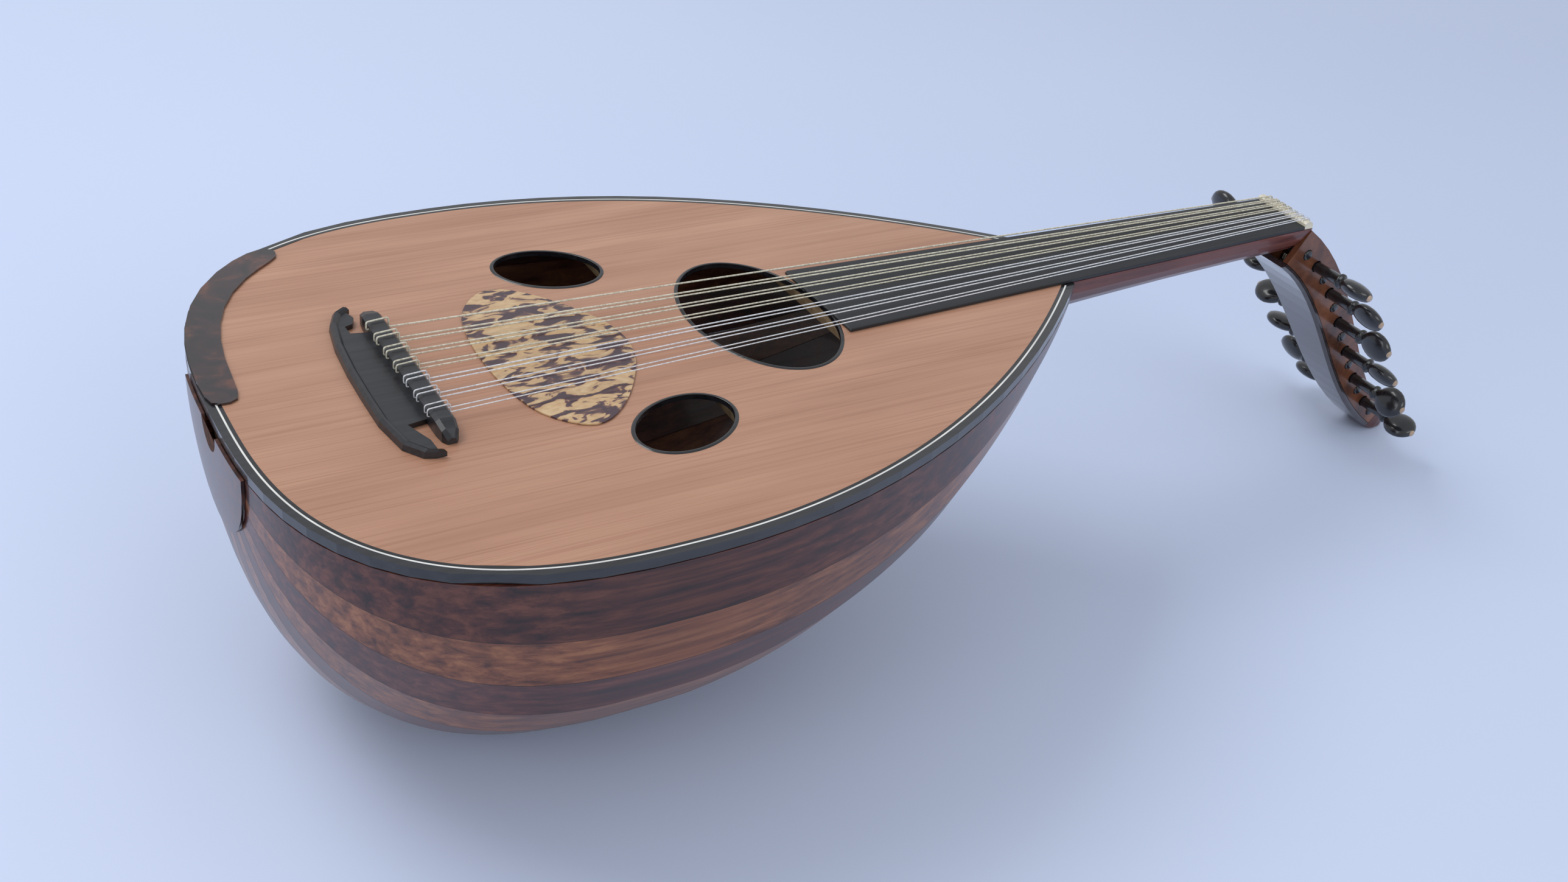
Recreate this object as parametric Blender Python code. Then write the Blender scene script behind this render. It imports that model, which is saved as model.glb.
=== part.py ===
"""Thirteen-string oud, lying on its bowl with the soundboard up.

X runs from the tail to the pegbox, Y to the bass side, Z up. The origin is the middle of the
flat at the lowest point of the bowl. Dimensions are millimetres, turned into metres where a
mesh is made.
"""
import math

import bmesh
import bpy
from mathutils import Vector

MM = 0.001
GAP = 0.3                 # clearance between two pieces that fit together

# body outline: a blunt tail half and a parabolic neck half that meet at the widest place
HALF_WIDTH = 179.5
TAIL_LENGTH = 170.0
TAIL_POWER_X = 2.6
TAIL_POWER_Y = 2.8
NECK_HALF_LENGTH = 350.0
JOINT_X = 318.0           # where body and neck meet
HEIGHT = 190.0            # soundboard above the ground

# bowl
RIBS = 17
FIRST_RIB_ANGLE = 11.3    # degrees taken by the wide first rib on each side
WALL = 2.5
FLAT_HALF_LENGTH = 22.0   # half the flat at the bottom
HEEL_DROP = 0.25          # how much shallower the bowl is at the neck
BINDING_HEIGHT = 5.0
BINDING_WIDTH = 6.0
LEDGE_WIDTH = 2.5
BOARD = 2.2               # soundboard thickness
CLASP_HALF_WIDTH = 50.0
CLASP = 1.6

# neck, fingerboard and nut
BRIDGE_X = -70.0          # front face of the bridge
STRING_LENGTH = 585.0
FINGERBOARD_X = 160.5
FINGERBOARD_HALF = 36.0
FINGERBOARD = 2.2
NECK_HALF_JOINT = 30.0
NECK_HALF_NUT = 22.0
NECK_DEPTH_JOINT = 29.0
NECK_DEPTH_NUT = 22.0
NUT_LENGTH = 6.7
NUT_TOP = 4.9

# bridge
BLOCK_LENGTH = 10.0
BLOCK_TOP = 9.5
BLOCK_HALF = 63.0
STRING_HEIGHT = 6.0       # string above the soundboard at the bridge

# pegbox, along a curved centre line
PEGBOX_START = (511.0, 178.0)
PEGBOX_BEND_1 = (572.0, 138.0)
PEGBOX_BEND_2 = (592.0, 62.0)
PEGBOX_END = (654.0, 12.0)
PEGBOX_HALF_START = 22.5
PEGBOX_HALF_TAPER = 10.0
PEGBOX_RISE_START = 13.0
PEGBOX_RISE_TAPER = 6.5
CHEEK = 4.2
BACK = 3.5

# pegs and strings
PEGS = 13
PEG_FIRST = 13.0
PEG_SPACING = 16.4
PEG_TIP_RADIUS = 3.3
PEG_RADIUS = 3.8
PEG_HOLE_CLEARANCE = 0.45
PEG_OVERHANG = 1.2
PEG_SHAFT_OUT = 21.0
PEG_HEAD_ROLL = (20, 65, 140, 35, 95, 10, 120, 50, 80, 155, 30, 110, 70)
COURSE_SPACING = 14.5
PAIR_SPACING = 3.8
NUT_COURSE_SPACING = 5.65
NUT_PAIR_SPACING = 2.0
BASS_RADIUS = 0.5
TREBLE_RADIUS = 0.32
WINDING_TURNS = 2.0
WINDING_GAP = 0.42
BASS_LANES = (14.2, 11.5, 8.9, 6.6, 4.7, 2.6, 0.8)
TREBLE_LANES = (-1.2, -3.1, -5.3, -7.8, -10.4, -14.1)


def clear_scene():
    for item in list(bpy.data.objects):
        bpy.data.objects.remove(item, do_unlink=True)


def material(name, color, roughness, metallic=0.0):
    made = bpy.data.materials.new(name)
    made.use_nodes = True
    shader = made.node_tree.nodes["Principled BSDF"]
    shader.inputs["Base Color"].default_value = (*color, 1.0)
    shader.inputs["Roughness"].default_value = roughness
    shader.inputs["Metallic"].default_value = metallic
    return made


def solid(name, points, faces, look, origin=(0.0, 0.0, 0.0)):
    """One closed body from points in millimetres, with its origin where it turns."""
    base = Vector(origin)
    mesh = bpy.data.meshes.new(name)
    mesh.from_pydata([(Vector(p) - base) * MM for p in points], [], faces)
    shape = bmesh.new()
    shape.from_mesh(mesh)
    bmesh.ops.recalc_face_normals(shape, faces=shape.faces)
    shape.to_mesh(mesh)
    shape.free()
    mesh.shade_smooth()
    mesh.set_sharp_from_angle(angle=math.radians(32))
    mesh.materials.append(look)
    made = bpy.data.objects.new(name, mesh)
    made.location = base * MM
    bpy.context.collection.objects.link(made)
    return made


def loft(name, rings, look, origin=(0.0, 0.0, 0.0)):
    """A solid through rings of equal length, closed by a face at each end."""
    count = len(rings[0])
    points = [p for ring in rings for p in ring]
    faces = [list(range(count)), [len(points) - count + i for i in range(count)]]
    for row in range(len(rings) - 1):
        for i in range(count):
            j = (i + 1) % count
            a = row * count
            faces.append([a + i, a + j, a + count + j, a + count + i])
    return solid(name, points, faces, look, origin)


def plate(name, outline_points, low, high, look):
    """A flat plate with the given plan outline."""
    return loft(name, [[(x, y, low) for x, y in outline_points],
                       [(x, y, high) for x, y in outline_points]], look)


def cylinder_points(center, radius, axis, start, end, count):
    """Two rings of a straight prism that runs along X, Y or Z from start to end."""
    rings = []
    for along in (start, end):
        ring = []
        for i in range(count):
            turn = 2 * math.pi * (i + 0.5) / count
            a, b = radius * math.cos(turn), radius * math.sin(turn)
            if axis == "x":
                ring.append((along, center[1] + a, center[2] + b))
            else:
                ring.append((center[0] + a, along, center[2] + b))
        rings.append(ring)
    return rings


def boolean(target, tools, operation):
    """Joins tools to the target or cuts them from it, and removes them."""
    for tool in tools:
        change = target.modifiers.new("cut", "BOOLEAN")
        change.object = tool
        change.operation = operation
        change.solver = "EXACT"
    bpy.context.view_layer.update()
    depsgraph = bpy.context.evaluated_depsgraph_get()
    mesh = bpy.data.meshes.new_from_object(target.evaluated_get(depsgraph))
    target.modifiers.clear()
    target.data = mesh
    for tool in tools:
        bpy.data.objects.remove(tool, do_unlink=True)
    shape = bmesh.new()
    shape.from_mesh(mesh)
    bmesh.ops.remove_doubles(shape, verts=shape.verts, dist=0.00001)
    bmesh.ops.dissolve_limit(shape, angle_limit=math.radians(0.5), verts=shape.verts,
                             edges=shape.edges)
    shape.to_mesh(mesh)
    shape.free()
    mesh.shade_smooth()
    mesh.set_sharp_from_angle(angle=math.radians(32))


def outline(t):
    """Point (x, half width) of the body outline: t is 0 at the tail, 0.5 at the widest place
    and 1 at the neck joint."""
    if t < 0.5:
        turn = t * math.pi
        return (-TAIL_LENGTH * math.cos(turn) ** (2 / TAIL_POWER_X),
                HALF_WIDTH * math.sin(turn) ** (2 / TAIL_POWER_Y))
    x = JOINT_X * (t - 0.5) / 0.5
    return x, HALF_WIDTH * (1 - (x / NECK_HALF_LENGTH) ** 2)


def outline_in(t, inset):
    """The outline moved inwards by inset, square to the edge."""
    x, w = outline(t)
    step = 0.0005
    xa, wa = outline(max(t - step, 0.0))
    xb, wb = outline(min(t + step, 1.0))
    length = math.hypot(xb - xa, wb - wa)
    tx, tw = (xb - xa) / length, (wb - wa) / length
    x, w = x + inset * tw, w - inset * tx
    if t >= 1.0:
        # the strip's end is cut square at the neck
        slide = (JOINT_X - GAP - x) / tx
        x, w = x + slide * tx, w + slide * tw
    return x, w


def tail_t(half_width):
    """The value of t in the tail half where the outline has this half width."""
    return math.asin((half_width / HALF_WIDTH) ** (TAIL_POWER_Y / 2)) / math.pi


def tail_t_at(x):
    """The value of t in the tail half at this x."""
    return math.acos((-x / TAIL_LENGTH) ** (TAIL_POWER_X / 2)) / math.pi


def neck_t(x):
    return 0.5 + 0.5 * x / JOINT_X


def depth_ratio(x):
    """Bowl depth over half width: the bowl gets shallower towards the heel."""
    share = min(max((x - 160.0) / (JOINT_X - 160.0), 0.0), 1.0)
    return 1 - HEEL_DROP * share * share * (3 - 2 * share)


FLAT_WIDTH = HALF_WIDTH * (1 - (FLAT_HALF_LENGTH / NECK_HALF_LENGTH) ** 2)
SIDE_TOP = HEIGHT - BINDING_HEIGHT - GAP
RIB_ANGLE = (180.0 - 2 * FIRST_RIB_ANGLE) / (RIBS - 2)
DEEPEST = SIDE_TOP / math.cos(math.radians(RIB_ANGLE / 2))


def bowl_point(t, angle, inset=0.0):
    """A point of the bowl: angle 0 is the treble edge, 90 the keel and 180 the bass edge."""
    x, w = outline_in(t, inset)
    drop = DEEPEST / FLAT_WIDTH * depth_ratio(x) * min(w, FLAT_WIDTH - inset)
    return x, -w * math.cos(angle), SIDE_TOP - drop * math.sin(angle)


def rib_edges():
    """Angles of the seams between the ribs, in radians."""
    inner = [FIRST_RIB_ANGLE + i * RIB_ANGLE for i in range(RIBS - 1)]
    return [math.radians(a) for a in [0.0] + inner + [180.0]]


def rib_stations():
    tail = [tail_t(w) for w in (16, 34, 56, 84, 112, 138)]
    tail += [tail_t_at(x) for x in (-95.0, -58.0, -FLAT_HALF_LENGTH)]
    return tail + [neck_t(x) for x in (FLAT_HALF_LENGTH, 65, 110, 155, 200, 242, 282,
                                       JOINT_X - GAP)]


def make_ribs(dark, light):
    edges = rib_edges()
    for number in range(RIBS):
        rings = []
        for t in rib_stations():
            slim = 0.5 * GAP / outline(t)[1]
            low, high = edges[number] + slim, edges[number + 1] - slim
            rings.append([bowl_point(t, low), bowl_point(t, high),
                          bowl_point(t, high, WALL), bowl_point(t, low, WALL)])
        loft("rib_%02d" % (number + 1), rings, dark if number % 2 == 0 else light)


def make_end_clasp(look):
    """A cap over the ends of the ribs, following the bowl with a small gap."""
    rows = [tail_t(w) for w in (12, 26, 38, CLASP_HALF_WIDTH)]
    edges = rib_edges()
    points, faces = [], []
    for inset in (-GAP - CLASP, -GAP):
        x, _, z = bowl_point(rows[0], 0.0, inset)
        points.append((x, 0.0, z))
        for t in rows:
            points += [bowl_point(t, a, inset) for a in edges]
    count = len(edges)
    half = 1 + count * len(rows)
    for side in (0, half):
        for i in range(count - 1):
            faces.append([side, side + 1 + i, side + 2 + i])
            for row in range(len(rows) - 1):
                a = side + 1 + row * count + i
                faces.append([a, a + 1, a + count + 1, a + count])
    rim = [1 + row * count for row in range(len(rows))]
    rim += [1 + (len(rows) - 1) * count + i for i in range(1, count)]
    rim += [count + row * count for row in range(len(rows) - 2, -1, -1)]
    rim.append(0)
    for a, b in zip(rim, rim[1:] + rim[:1]):
        faces.append([a, b, b + half, a + half])
    solid("end_clasp", points, faces, look)


def block_ring(t):
    """Section of a block inside the bowl, its top standing inside the binding's ledge."""
    fit = WALL + GAP
    ring = [bowl_point(t, a, fit) for a in rib_edges()]
    x, w = outline_in(t, BINDING_WIDTH + LEDGE_WIDTH + GAP)
    low, high = HEIGHT - BINDING_HEIGHT - GAP, HEIGHT - BOARD - GAP
    return ring + [(x, w, low), (x, w, high), (x, -w, high), (x, -w, low)]


def make_blocks(look):
    loft("tail_block", [block_ring(tail_t(w)) for w in (34, 56, 84)], look)
    loft("neck_block", [block_ring(neck_t(x)) for x in (282, JOINT_X - GAP)], look)


def edge_ts(count):
    """Values of t round one side, closer together where the outline bends more."""
    tail = [tail_t(w) for w in (4, 12, 24, 38, 54, 70, 86, 102, 118, 132, 145, 156)]
    tail += [tail_t_at(x) for x in (-75, -50, -25)]
    return tail + [neck_t(JOINT_X * i / count) for i in range(count + 1)]


def make_binding(look):
    """An edge strip with an inner ledge under the soundboard, open at the neck."""
    top, ledge = HEIGHT, HEIGHT - BOARD - GAP
    bottom = HEIGHT - BINDING_HEIGHT
    inner = BINDING_WIDTH + LEDGE_WIDTH
    section = ((0.0, top), (BINDING_WIDTH, top), (BINDING_WIDTH, ledge), (inner, ledge),
               (inner, bottom), (0.0, bottom))
    ts = edge_ts(14)
    rings = []
    for side, run in ((-1, list(reversed(ts))), (1, ts)):
        for t in run:
            ring = []
            for inset, z in section:
                x, w = outline_in(t, inset)
                ring.append((x, side * max(w, 0.5), z))
            rings.append(ring)
    loft("binding", rings, look)


def ellipse_plan(x, y, long_half, short_half, tilt, count):
    turn = math.radians(tilt)
    points = []
    for i in range(count):
        a = 2 * math.pi * i / count
        u, v = long_half * math.cos(a), short_half * math.sin(a)
        points.append((x + u * math.cos(turn) - v * math.sin(turn),
                       y + u * math.sin(turn) + v * math.cos(turn)))
    return points


SOUND_HOLES = (("large", 123.0, 0.0, 61.0, 39.0, 90.0, 36),
               ("bass", 35.5, 85.5, 30.0, 21.5, -26.6, 28),
               ("treble", 35.5, -85.5, 30.0, 21.5, 26.6, 28))


def make_soundboard(look):
    inset = BINDING_WIDTH + GAP
    side = [outline_in(t, inset) for t in edge_ts(14) if outline_in(t, inset)[1] > 3.0]
    plan = [(x, w) for x, w in side] + [(x, -w) for x, w in reversed(side)]
    board = plate("soundboard", plan, HEIGHT - BOARD, HEIGHT, look)
    cutters = [plate("hole_" + label, ellipse_plan(x, y, a, b, tilt, count),
                     HEIGHT - 2 * BOARD, HEIGHT + BOARD, look)
               for label, x, y, a, b, tilt, count in SOUND_HOLES]
    boolean(board, cutters, "DIFFERENCE")


def make_braces(look):
    """Bars across the underside of the soundboard, thinned towards their ends."""
    top = HEIGHT - BOARD - GAP
    for number, x in enumerate((73.0, 169.0)):
        reach = outline(neck_t(x))[1] - BINDING_WIDTH - LEDGE_WIDTH - 3.0
        rings = []
        for share, deep in ((-1.0, 4.0), (-0.82, 14.0), (0.82, 14.0), (1.0, 4.0)):
            y = share * reach
            rings.append([(x - 3, y, top), (x + 3, y, top), (x + 3, y, top - 0.6 * deep),
                          (x + 1.2, y, top - deep), (x - 1.2, y, top - deep),
                          (x - 3, y, top - 0.6 * deep)])
        loft("brace_%d" % (number + 1), rings, look)


def half_width_at(x):
    """Half width of fingerboard or neck: one straight taper from the body to the nut."""
    share = (x - FINGERBOARD_X) / (BRIDGE_X + STRING_LENGTH - FINGERBOARD_X)
    return FINGERBOARD_HALF + (NECK_HALF_NUT - FINGERBOARD_HALF) * share


def make_fingerboard(look):
    low, high = HEIGHT + GAP, HEIGHT + GAP + FINGERBOARD - 0.3
    end = BRIDGE_X + STRING_LENGTH - NUT_LENGTH / 2 - GAP
    rings = []
    for x in (FINGERBOARD_X, FINGERBOARD_X + 0.8, end):
        w = half_width_at(x)
        top = high - 0.8 if x == FINGERBOARD_X else high
        rings.append([(x, -w, low), (x, w, low), (x, w, top - 0.4), (x, w - 0.4, top),
                      (x, 0.4 - w, top), (x, -w, top - 0.4)])
    loft("fingerboard", rings, look)


def pegbox_slope():
    """Unit vector along the pegbox at its start, in x and z."""
    dx = PEGBOX_BEND_1[0] - PEGBOX_START[0]
    dz = PEGBOX_BEND_1[1] - PEGBOX_START[1]
    length = math.hypot(dx, dz)
    return dx / length, dz / length


def neck_end_x(z):
    """The neck ends in a slanted face, square to the start of the pegbox."""
    dx, dz = pegbox_slope()
    return PEGBOX_START[0] - (z - PEGBOX_START[1]) * dz / dx


def make_neck(look):
    rings = []
    for x in (JOINT_X + GAP, 345.0, 400.0, 460.0, None):
        share = 1.0 if x is None else (x - JOINT_X) / (BRIDGE_X + STRING_LENGTH - JOINT_X)
        half = NECK_HALF_JOINT + (NECK_HALF_NUT - NECK_HALF_JOINT) * share
        deep = NECK_DEPTH_NUT + (NECK_DEPTH_JOINT - NECK_DEPTH_NUT) * (1 - share) ** 2
        ring = [(half, HEIGHT), (half, HEIGHT - 1.5)]
        for i in range(1, 12):
            a = math.pi * i / 12
            ring.append((half * math.cos(a), HEIGHT - 1.5 - (deep - 1.5) * math.sin(a)))
        ring += [(-half, HEIGHT - 1.5), (-half, HEIGHT)]
        rings.append([(neck_end_x(z) if x is None else x, y, z) for y, z in ring])
    loft("neck", rings, look)


def make_nut(look):
    start = BRIDGE_X + STRING_LENGTH - NUT_LENGTH / 2
    end = start + NUT_LENGTH
    low, top = HEIGHT + GAP, HEIGHT + NUT_TOP
    profile = ((start, low), (start, top - 1.2), (start + 1.2, top), (end - 2.2, top),
               (end - 0.6, top - 1.0), (end, top - 2.6), (end, low))
    rings = [[(x, y, z) for x, z in profile] for y in (-NECK_HALF_NUT, NECK_HALF_NUT)]
    loft("nut", rings, look)


def smooth_loop(points, parts):
    """A closed curve through the points, with this many parts between two of them."""
    count = len(points)
    loop = []
    for i in range(count):
        a, b, c, d = (points[(i + k) % count] for k in (-1, 0, 1, 2))
        for step in range(parts):
            s = step / parts
            loop.append(tuple(
                0.5 * (2 * b[k] + (c[k] - a[k]) * s + (2 * a[k] - 5 * b[k] + 4 * c[k] - d[k]) * s ** 2
                       + (3 * b[k] - a[k] - 3 * c[k] + d[k]) * s ** 3) for k in (0, 1)))
    return loop


def make_pickguard(look):
    half = [(-35.0, 0.0), (-29.5, 46.0), (-13.0, 69.0), (3.0, 70.0), (23.0, 50.0), (41.0, 16.0)]
    points = half + [(x, -y) for x, y in reversed(half[1:])]
    plate("pickguard", smooth_loop(points, 4), HEIGHT + GAP, HEIGHT + GAP + 0.7, look)


def make_arm_guard(look):
    """A band along the bass side of the tail, with rounded ends, over the binding."""
    start, end, band = tail_t(7.0), tail_t_at(-102.0), 17.0
    runs = [0.0, 0.02, 0.06, 0.14, 0.25, 0.36, 0.47, 0.58, 0.69, 0.8, 0.88, 0.94, 0.98, 1.0]
    outer, inner = [], []
    for run in runs:
        # half widths spaced evenly along the edge
        t = start + (end - start) * run ** 1.35
        size = 0.25 + 0.75 * (1 - abs(2 * run - 1) ** 12) ** 0.5
        outer.append(outline_in(t, 0.4 + band / 2 * (1 - size)))
        inner.append(outline_in(t, 0.4 + band / 2 * (1 + size)))
    inner = [(x, max(y, 4.0)) for x, y in inner]
    low = HEIGHT + GAP
    plate("arm_guard", outer + list(reversed(inner)), low, low + 1.0, look)


def make_bridge(look):
    """A tie block pierced for the strings, with a trough and a raised rim behind it."""
    low, back = HEIGHT + GAP, BRIDGE_X - BLOCK_LENGTH
    rings = []
    for share, thin, fall in ((-1.0, 2.6, 6.0), (-0.95, 0.8, 2.2), (-0.85, 0.0, 0.2),
                              (0.85, 0.0, 0.2), (0.95, 0.8, 2.2), (1.0, 2.6, 6.0)):
        y, top = share * BLOCK_HALF, HEIGHT + BLOCK_TOP - fall
        rings.append([(BRIDGE_X - thin, y, low), (BRIDGE_X - thin, y, top - 1.8),
                      (BRIDGE_X - thin - 1.5, y, top - 0.2), (back + thin + 2.0, y, top),
                      (back + thin, y, top - 1.4), (back + thin, y, low)])
    block = loft("bridge", rings, look)
    # the rear edge from the treble point to the bass scroll, as (y, x behind the front face)
    edge = ((-72.0, 16.0), (-70.0, 21.5), (-60.0, 28.5), (-37.0, 32.0), (-12.0, 32.0),
            (12.0, 31.4), (37.0, 29.6), (58.0, 26.0), (68.0, 21.5), (72.0, 16.0))
    rim = []
    for y, behind in edge:
        x = BRIDGE_X - behind
        rim.append([(x, y, low), (x + 0.5, y, HEIGHT + 3.6), (x + 1.9, y, HEIGHT + 5.2),
                    (x + 3.6, y, HEIGHT + 4.6), (x + 5.0, y, HEIGHT + 2.9), (x + 5.0, y, low)])
    rim = loft("rim", rim, look)
    plan = [(back + 1.0, 46.0), (back + 1.0, -42.0), (BRIDGE_X - 20.0, -44.0),
            (BRIDGE_X - 18.0, -50.0), (BRIDGE_X - 14.5, -60.0), (BRIDGE_X - 14.0, -71.5)]
    plan += [(BRIDGE_X - behind + 1.5, y) for y, behind in edge[1:-1]]
    plan += [(BRIDGE_X - 14.0, 71.5), (BRIDGE_X - 11.5, 63.0), (BRIDGE_X - 14.0, 57.0),
             (BRIDGE_X - 18.5, 55.5), (BRIDGE_X - 18.0, 48.0)]
    floor = plate("floor", plan, low, low + 2.6, look)
    boolean(block, [rim, floor], "UNION")
    drills = []
    for number in range(PEGS):
        radius = string_radius(number) + 0.6
        slant = (nut_y(number) - bridge_y(number)) / STRING_LENGTH
        center = (0.0, bridge_y(number) + slant * BLOCK_LENGTH / 2, HEIGHT + STRING_HEIGHT)
        drills.append(loft("drill", cylinder_points(center, radius, "x", back - 3.0,
                                                    BRIDGE_X + 3.0, 8), look))
    boolean(block, drills, "DIFFERENCE")


def pegbox_curve():
    """Points, tangents and lengths along the pegbox centre line."""
    table, length, last = [], 0.0, None
    for i in range(401):
        s = i / 400
        k = ((1 - s) ** 3, 3 * s * (1 - s) ** 2, 3 * s * s * (1 - s), s ** 3)
        ends = (PEGBOX_START, PEGBOX_BEND_1, PEGBOX_BEND_2, PEGBOX_END)
        p = tuple(sum(k[j] * ends[j][c] for j in range(4)) for c in (0, 1))
        if last:
            length += math.hypot(p[0] - last[0], p[1] - last[1])
        table.append((length, p))
        last = p
    return table


CURVE = pegbox_curve()
PEGBOX_LENGTH = CURVE[-1][0]


def pegbox_at(s):
    """Centre (x, z) and unit tangent of the pegbox at length s."""
    i = min(max(sum(1 for length, _ in CURVE if length < s), 1), len(CURVE) - 1)
    (la, a), (lb, b) = CURVE[i - 1], CURVE[i]
    share = (s - la) / (lb - la)
    x, z = a[0] + (b[0] - a[0]) * share, a[1] + (b[1] - a[1]) * share
    dx, dz = (b[0] - a[0]) / (lb - la), (b[1] - a[1]) / (lb - la)
    return x, z, dx, dz


def pegbox_half(s):
    return PEGBOX_HALF_START - PEGBOX_HALF_TAPER * s / PEGBOX_LENGTH


def pegbox_rise(s):
    return PEGBOX_RISE_START - PEGBOX_RISE_TAPER * (s / PEGBOX_LENGTH) ** 2.5


def peg_s(number):
    return PEG_FIRST + PEG_SPACING * number


def head_side(number):
    """The pegs' heads alternate, the first one on the bass side."""
    return 1 if number % 2 == 0 else -1


def make_pegbox(side_look, back_look):
    stops = [GAP] + [PEGBOX_LENGTH * i / 16 for i in range(1, 17)]
    for label, side in (("near", -1), ("far", 1)):
        rings = []
        for s in stops:
            x, z, dx, dz = pegbox_at(s)
            rise, half = pegbox_rise(s), pegbox_half(s)
            ring = []
            for y, n in ((half, rise), (half - CHEEK, rise), (half - CHEEK, -rise), (half, -rise)):
                ring.append((x - dz * n, side * y, z + dx * n))
            rings.append(ring)
        cheek = loft("pegbox_cheek_" + label, rings, side_look)
        holes = []
        for number in range(PEGS):
            s = peg_s(number)
            x, z, _, _ = pegbox_at(s)
            half = pegbox_half(s)
            radius = PEG_RADIUS if head_side(number) == side else PEG_TIP_RADIUS + 0.1
            ends = sorted((side * (half - CHEEK - 2), side * (half + 2)))
            rings = cylinder_points((x, 0.0, z), radius + PEG_HOLE_CLEARANCE, "y", *ends, 12)
            holes.append(loft("hole", rings, side_look))
        boolean(cheek, holes, "DIFFERENCE")
    rings = []
    for s in stops:
        x, z, dx, dz = pegbox_at(s)
        rise, half = pegbox_rise(s) + GAP, pegbox_half(s)
        ring = []
        for y, n in ((half, rise), (half, rise + 1.8), (half - 2.2, rise + BACK),
                     (2.2 - half, rise + BACK), (-half, rise + 1.8), (-half, rise)):
            ring.append((x + dz * n, y, z - dx * n))
        rings.append(ring)
    loft("pegbox_back", rings, back_look)
    half = pegbox_half(PEGBOX_LENGTH)
    up, down = pegbox_rise(PEGBOX_LENGTH), pegbox_rise(PEGBOX_LENGTH) + GAP + BACK
    x, z, dx, dz = pegbox_at(PEGBOX_LENGTH)
    rings = []
    for cx, cz, nx, nz, top, bottom, w in (
            (x + dx * GAP, z + dz * GAP, -dz, dx, up, down, half),
            (660.0, 8.0, 0.5, 0.866, 6.4, 9.5, half), (665.0, 6.0, 0.3, 0.954, 5.4, 7.0, half - 1),
            (669.0, 5.5, 0.1, 0.995, 3.5, 5.6, half - 3), (671.0, 5.0, 0.0, 1.0, 1.5, 2.0, half - 5)):
        ring = []
        for y, n in ((w, bottom - 1.8), (w, top - 1), (w - 1.2, top), (1.2 - w, top), (-w, top - 1),
                     (-w, bottom - 1.8), (2 - w, bottom), (w - 2, bottom)):
            n = n if n in (top, top - 1) else -n
            ring.append((cx + nx * n, y, max(cz + nz * n, 0.0)))
        rings.append(ring)
    loft("pegbox_tip", rings, back_look)


def make_pegs(look):
    """Tapered pegs with a collar and a flattened head, each turning on its own axis."""
    for number in range(PEGS):
        s = peg_s(number)
        x, z, _, _ = pegbox_at(s)
        half, side = pegbox_half(s), head_side(number)
        out = half + PEG_SHAFT_OUT
        rows = ((-half - PEG_OVERHANG, 2.5, 2.5), (-half - 0.6, PEG_TIP_RADIUS, PEG_TIP_RADIUS),
                (out, PEG_RADIUS, PEG_RADIUS), (out + 0.2, 5.2, 5.2), (out + 2.0, 5.2, 5.2),
                (out + 3.0, 3.4, 3.4), (out + 8.0, 4.9, 8.6), (out + 14.5, 5.4, 10.6),
                (out + 21.0, 4.6, 9.0), (out + 25.5, 3.0, 5.0), (out + 27.5, 1.4, 1.6))
        turn = math.radians(PEG_HEAD_ROLL[number])
        rings = []
        for v, thin, wide in rows:
            ring = []
            for i in range(10):
                a = 2 * math.pi * i / 10
                u, w = thin * math.cos(a), wide * math.sin(a)
                ring.append((x + u * math.cos(turn) - w * math.sin(turn), side * v,
                             z + u * math.sin(turn) + w * math.cos(turn)))
            rings.append(ring)
        loft("peg_%02d" % (number + 1), rings, look, origin=(x, 0.0, z))


def string_radius(number):
    """The single bass is thickest, and the pairs get thinner towards the treble."""
    return BASS_RADIUS + (TREBLE_RADIUS - BASS_RADIUS) * number / (PEGS - 1)


def spread(number, course_gap, pair_gap):
    """Y of a string: a single bass first, then six pairs."""
    course = (number + 1) // 2
    y = (3 - course) * course_gap
    if course == 0:
        return y
    return y + (0.5 if number % 2 == 1 else -0.5) * pair_gap


def bridge_y(number):
    return spread(number, COURSE_SPACING, PAIR_SPACING)


def nut_y(number):
    return spread(number, NUT_COURSE_SPACING, NUT_PAIR_SPACING)


def string_peg(number):
    """Bass strings take every other peg down the box, treble strings come back up."""
    return 2 * number if number < 7 else 2 * (12 - number) + 1


def rounded(points, radii, parts=3):
    """The polyline with each inner corner replaced by a short arc."""
    made = [points[0]]
    for i in range(1, len(points) - 1):
        corner = Vector(points[i])
        back, ahead = Vector(points[i - 1]) - corner, Vector(points[i + 1]) - corner
        angle = back.angle(ahead)
        reach = radii[i - 1] / math.tan(angle / 2)
        reach = min(reach, 0.48 * back.length, 0.48 * ahead.length)
        a, b = corner + back.normalized() * reach, corner + ahead.normalized() * reach
        for step in range(parts + 1):
            s = step / parts
            made.append(tuple(a * (1 - s) ** 2 + corner * 2 * s * (1 - s) + b * s * s))
    made.append(points[-1])
    return made


def tie_points(number):
    """The knotted end: under the string, up, back over the block and through its hole."""
    radius, y = string_radius(number), bridge_y(number)
    clear = GAP + 0.1 + radius
    loop = 2 * radius + WINDING_GAP + 0.05
    front, back = BRIDGE_X + clear + 0.2, BRIDGE_X - BLOCK_LENGTH - clear - 0.2
    level, over = HEIGHT + STRING_HEIGHT, HEIGHT + BLOCK_TOP + clear
    corners = [(front, y, level - loop), (front, y + loop, level - loop),
               (front, y + loop, over), (back, y, over), (back, y, level)]
    return corners, [loop * 0.8, 1.4, 1.4, 1.1]


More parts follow.
